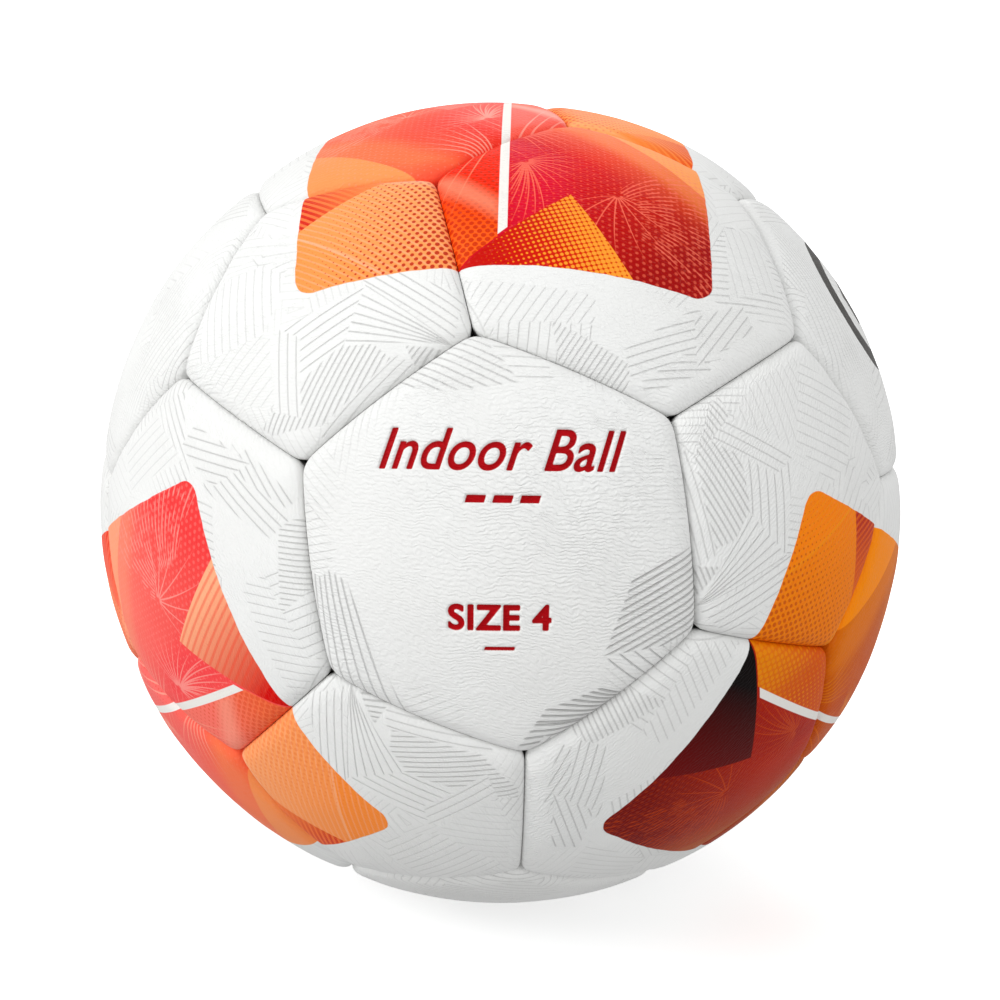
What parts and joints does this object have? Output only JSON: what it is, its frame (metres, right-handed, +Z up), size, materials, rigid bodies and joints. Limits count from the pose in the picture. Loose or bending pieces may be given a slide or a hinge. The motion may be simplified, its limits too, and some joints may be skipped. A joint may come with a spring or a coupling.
{
  "type": "soccer ball",
  "caption": "Stitched indoor soccer ball: hexagon and pentagon cover panels with printed colour patches over foam, lining, a rubber bladder and a needle valve.",
  "frame": {"origin": "centre of the ball", "axes": "-Y through the centre of the front hexagon with the lettering, +Y out through the valve, +Z up"},
  "size_m": [0.2, 0.2005, 0.1994],
  "materials": {
    "cover_white": "satin",
    "cover_print": "satin",
    "foam": "matte",
    "cloth_lining": "matte",
    "waxed_thread": "satin",
    "bladder_rubber": "matte",
    "patch_cloth": "matte",
    "valve_rubber": "satin",
    "plug_rubber": "satin"
  },
  "bodies": {
    "ball": {"hexagon_panel_01": "cover_white", "hexagon_panel_02": "cover_white", "hexagon_panel_03": "cover_white", "hexagon_panel_04": "cover_white", "hexagon_panel_05": "cover_white", "hexagon_panel_06": "cover_white", "hexagon_panel_07": "cover_white", "hexagon_panel_08": "cover_white", "hexagon_panel_09": "cover_white", "hexagon_panel_10": "cover_white", "hexagon_panel_11": "cover_white", "hexagon_panel_12": "cover_white", "hexagon_panel_13": "cover_white", "hexagon_panel_14": "cover_white", "hexagon_panel_15": "cover_white", "hexagon_panel_16": "cover_white", "hexagon_panel_17": "cover_white", "hexagon_panel_18": "cover_white", "hexagon_panel_19": "cover_white", "valve_panel": "cover_white", "pentagon_panel_01": "cover_print", "pentagon_panel_02": "cover_print", "pentagon_panel_03": "cover_print", "pentagon_panel_04": "cover_print", "pentagon_panel_05": "cover_print", "pentagon_panel_06": "cover_print", "pentagon_panel_07": "cover_print", "pentagon_panel_08": "cover_print", "pentagon_panel_09": "cover_print", "pentagon_panel_10": "cover_print", "pentagon_panel_11": "cover_print", "pentagon_panel_12": "cover_print", "hexagon_foam_pads": "foam", "pentagon_foam_pads": "foam", "hexagon_linings": "cloth_lining", "pentagon_linings": "cloth_lining", "seam_thread": "waxed_thread", "bladder": "bladder_rubber", "valve_patch": "patch_cloth", "valve_housing": "valve_rubber"},
    "valve_insert": {"valve_plug": "plug_rubber"}
  },
  "joints": [
    {"name": "valve_plug_slide", "type": "slide", "parent": "ball", "child": "valve_insert", "axis": [0, 1, 0], "range_m": [0, 0.022]}
  ]
}
